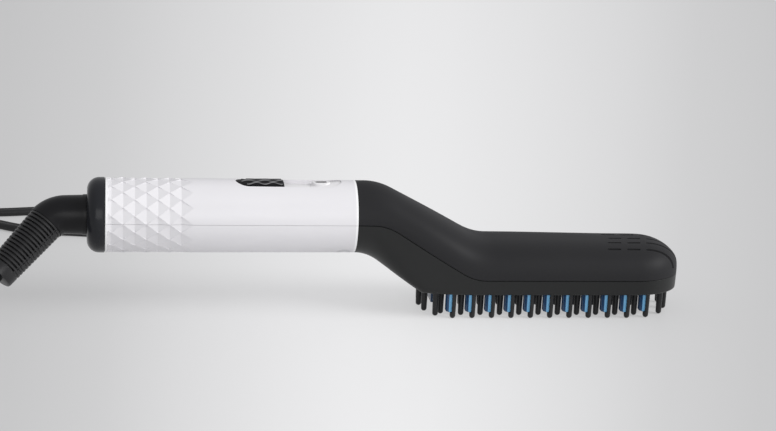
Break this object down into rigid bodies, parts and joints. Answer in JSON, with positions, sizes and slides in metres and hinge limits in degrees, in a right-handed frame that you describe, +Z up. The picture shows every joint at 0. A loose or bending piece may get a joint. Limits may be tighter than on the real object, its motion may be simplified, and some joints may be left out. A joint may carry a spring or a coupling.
{
  "type": "heated comb",
  "caption": "Hand-held heated comb with a cranked neck, rows of guard teeth beside coated heating fins, a sliding switch and a cord that swivels at the handle's end.",
  "frame": {"origin": "under the middle of the comb's length, cord left out, on the surface it stands on, which is the tips of the teeth", "axes": "+X along the comb towards the nose of the head, +Y across it, +Z up from the tips of the teeth"},
  "size_m": [0.3832, 0.1525, 0.0456],
  "materials": {
    "white_shell": "satin",
    "gloss_black": "gloss",
    "satin_black": "satin",
    "tooth_black": "satin",
    "fin_blue": "gloss coating",
    "aluminium_sheet": "satin",
    "steel": "satin",
    "ceramic": "sintered",
    "film": "film",
    "brass_part": "plain",
    "lead_red": "silicone sleeve",
    "board_green": "solder mask",
    "component_blue": "moulded",
    "led_clear": "clear",
    "lens_grey": "gloss",
    "cord_black": "satin",
    "plug_black": "satin",
    "chrome_pin": "polished"
  },
  "bodies": {
    "comb_body": {"handle_upper_shell": "white_shell", "handle_lower_shell": "white_shell", "end_cap": "gloss_black", "head_upper_cover": "satin_black", "head_lower_frame": "satin_black", "comb_plate": "tooth_black", "outer_bristles": "tooth_black", "inner_bristles": "tooth_black", "centre_bristles": "tooth_black", "heating_fins": "fin_blue", "heating_plate": "aluminium_sheet", "electrode_plates": "brass_part", "ptc_heater": "ceramic", "insulating_film": "film", "heater_clamp": "steel", "clamp_screws": "steel", "heat_shield": "film", "thermal_fuse": "steel", "temperature_sensor": "ceramic", "heater_leads": "lead_red", "circuit_board": "board_green", "board_parts": "component_blue", "slide_switch": "steel", "indicator_led": "led_clear", "led_lens": "lens_grey", "switch_bezel": "white_shell", "case_screws": "steel", "contact_block": "satin_black", "contact_fingers": "brass_part", "supply_leads": "lead_red", "power_cord": "cord_black", "cord_coil": "cord_black", "cord_tie": "satin_black", "plug_cord": "cord_black", "plug_body": "plug_black", "plug_pins": "chrome_pin"},
    "slider": {"switch_slider": "satin_black", "switch_lever": "satin_black"},
    "swivel": {"swivel_elbow": "satin_black", "swivel_clip": "steel", "swivel_contacts": "brass_part", "strain_relief": "cord_black"}
  },
  "joints": [
    {"name": "switch_slide", "type": "slide", "parent": "comb_body", "child": "slider", "axis": [1, 0, 0], "range_m": [0, 0.005]},
    {"name": "cord_swivel", "type": "hinge", "parent": "comb_body", "child": "swivel", "pos_m": [-0.08791, 0, 0.0326], "axis": [1, 0, 0], "continuous": true}
  ]
}
